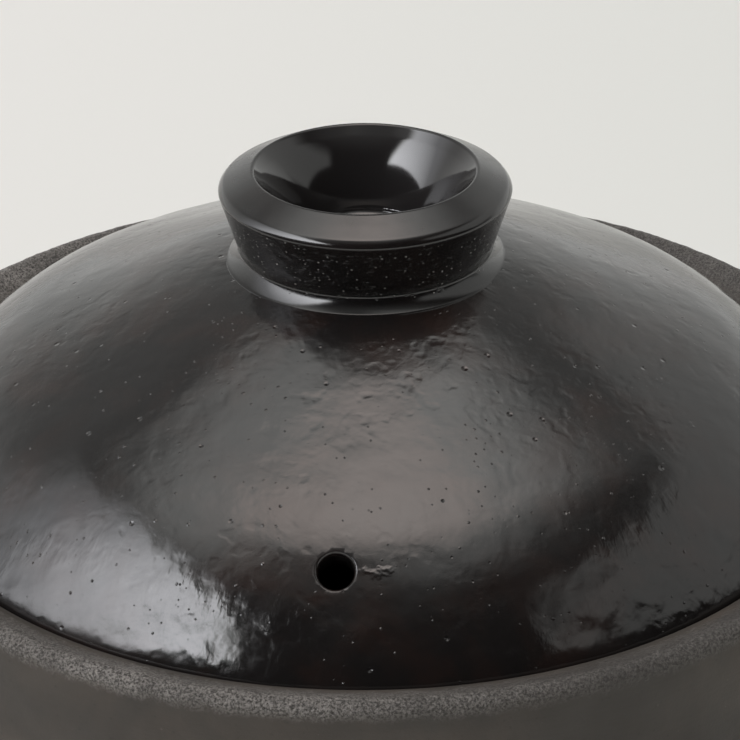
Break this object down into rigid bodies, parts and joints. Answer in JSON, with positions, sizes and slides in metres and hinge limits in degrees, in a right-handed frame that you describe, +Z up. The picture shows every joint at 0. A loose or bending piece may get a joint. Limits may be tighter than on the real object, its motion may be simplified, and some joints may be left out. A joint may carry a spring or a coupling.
{
  "type": "donabe rice pot",
  "caption": "Round lidded clay rice pot with a sloping collar, side ears, a flat inner lid and a domed outer lid that has a steam hole and a hollow flared knob.",
  "frame": {"origin": "centre of the foot's underside, on the pot's axis", "axes": "+Z up along the pot's axis, +X through one ear, -Y towards the steam hole"},
  "size_m": [0.2552, 0.227, 0.1768],
  "materials": {
    "clay": "unglazed brown-black clay, smooth on the sides and gritty over the rim",
    "black_glaze": "glossy black glaze with shallow dimples, pits and pooled edges",
    "inner_glaze": "satin brown-black glaze on the inner lid"
  },
  "bodies": {
    "pot": {"pot_body": "clay", "ear_left": "clay", "ear_right": "clay"},
    "inner_lid": {"inner_lid": "inner_glaze", "inner_lid_knob": "inner_glaze"},
    "outer_lid": {"outer_lid": "black_glaze", "outer_lid_knob": "black_glaze"}
  },
  "joints": [
    {"name": "inner_lid_lift", "type": "slide", "parent": "pot", "child": "inner_lid", "axis": [0, 0, 1], "range_m": [0, 0.1]},
    {"name": "outer_lid_lift", "type": "slide", "parent": "inner_lid", "child": "outer_lid", "axis": [0, 0, 1], "range_m": [0, 0.12]}
  ]
}
